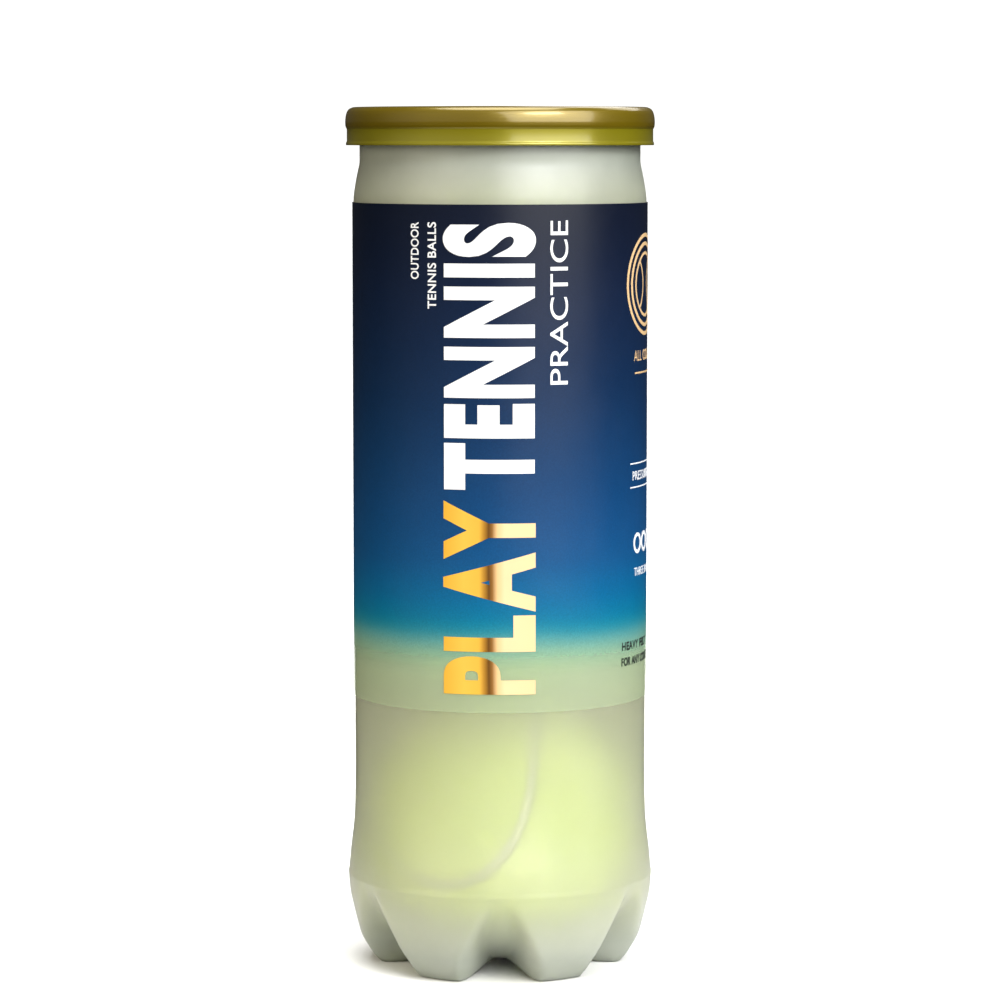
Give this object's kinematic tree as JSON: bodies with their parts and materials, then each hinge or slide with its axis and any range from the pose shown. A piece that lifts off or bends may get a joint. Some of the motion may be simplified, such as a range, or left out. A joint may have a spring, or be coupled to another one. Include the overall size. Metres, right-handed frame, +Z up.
{
  "type": "tennis ball can",
  "caption": "Clear blow-moulded tennis ball can with a lobed base, a printed sleeve, a tear-off end with pull tab, a push-on overcap and hollow felt-covered balls inside.",
  "frame": {"origin": "centre of the can's axis on the floor that its lobes stand on", "axes": "+Z up along the can's axis, -Y out of the front, where a valley of the base lies"},
  "size_m": [0.076, 0.076, 0.212],
  "materials": {
    "clear_plastic": "clear, slightly frosted",
    "label_film": "printed film, satin",
    "aluminium": "bright rolled sheet",
    "compound": "matt",
    "overcap_plastic": "translucent olive gold",
    "felt": "napped felt",
    "seam_rubber": "matt",
    "core_rubber": "matt"
  },
  "bodies": {
    "can": {"can_body": "clear_plastic", "label_sleeve": "label_film", "end_ring": "aluminium", "seam_compound": "compound"},
    "ball_lower": {"ball_lower_core_bottom": "core_rubber", "ball_lower_core_top": "core_rubber", "ball_lower_felt_a": "felt", "ball_lower_felt_b": "felt", "ball_lower_seam": "seam_rubber"},
    "ball_middle": {"ball_middle_core_bottom": "core_rubber", "ball_middle_core_top": "core_rubber", "ball_middle_felt_a": "felt", "ball_middle_felt_b": "felt", "ball_middle_seam": "seam_rubber"},
    "ball_upper": {"ball_upper_core_bottom": "core_rubber", "ball_upper_core_top": "core_rubber", "ball_upper_felt_a": "felt", "ball_upper_felt_b": "felt", "ball_upper_seam": "seam_rubber"},
    "end_panel": {"tear_panel": "aluminium", "tab_rivet": "aluminium"},
    "overcap": {"overcap": "overcap_plastic"},
    "pull_tab": {"pull_tab": "aluminium"}
  },
  "joints": [
    {"name": "ball_lower_lift", "type": "slide", "parent": "can", "child": "ball_lower", "axis": [0, 0, 1], "range_m": [0, 0.21]},
    {"name": "ball_middle_lift", "type": "slide", "parent": "ball_lower", "child": "ball_middle", "axis": [0, 0, 1], "range_m": [0, 0.145]},
    {"name": "ball_upper_lift", "type": "slide", "parent": "ball_middle", "child": "ball_upper", "axis": [0, 0, 1], "range_m": [0, 0.08]},
    {"name": "end_tear_off", "type": "slide", "parent": "ball_upper", "child": "end_panel", "axis": [0, 0, 1], "range_m": [0, 0.03]},
    {"name": "overcap_lift", "type": "slide", "parent": "end_panel", "child": "overcap", "axis": [0, 0, 1], "range_m": [0, 0.06]},
    {"name": "pull_tab_lift", "type": "hinge", "parent": "end_panel", "child": "pull_tab", "pos_m": [0, -0.0296, 0.20485], "axis": [1, 0, 0], "range_deg": [0, 90]}
  ],
  "couplings": [
    {"joint": "pull_tab_lift", "follows": "overcap_lift", "rad_per_m": 26}
  ]
}
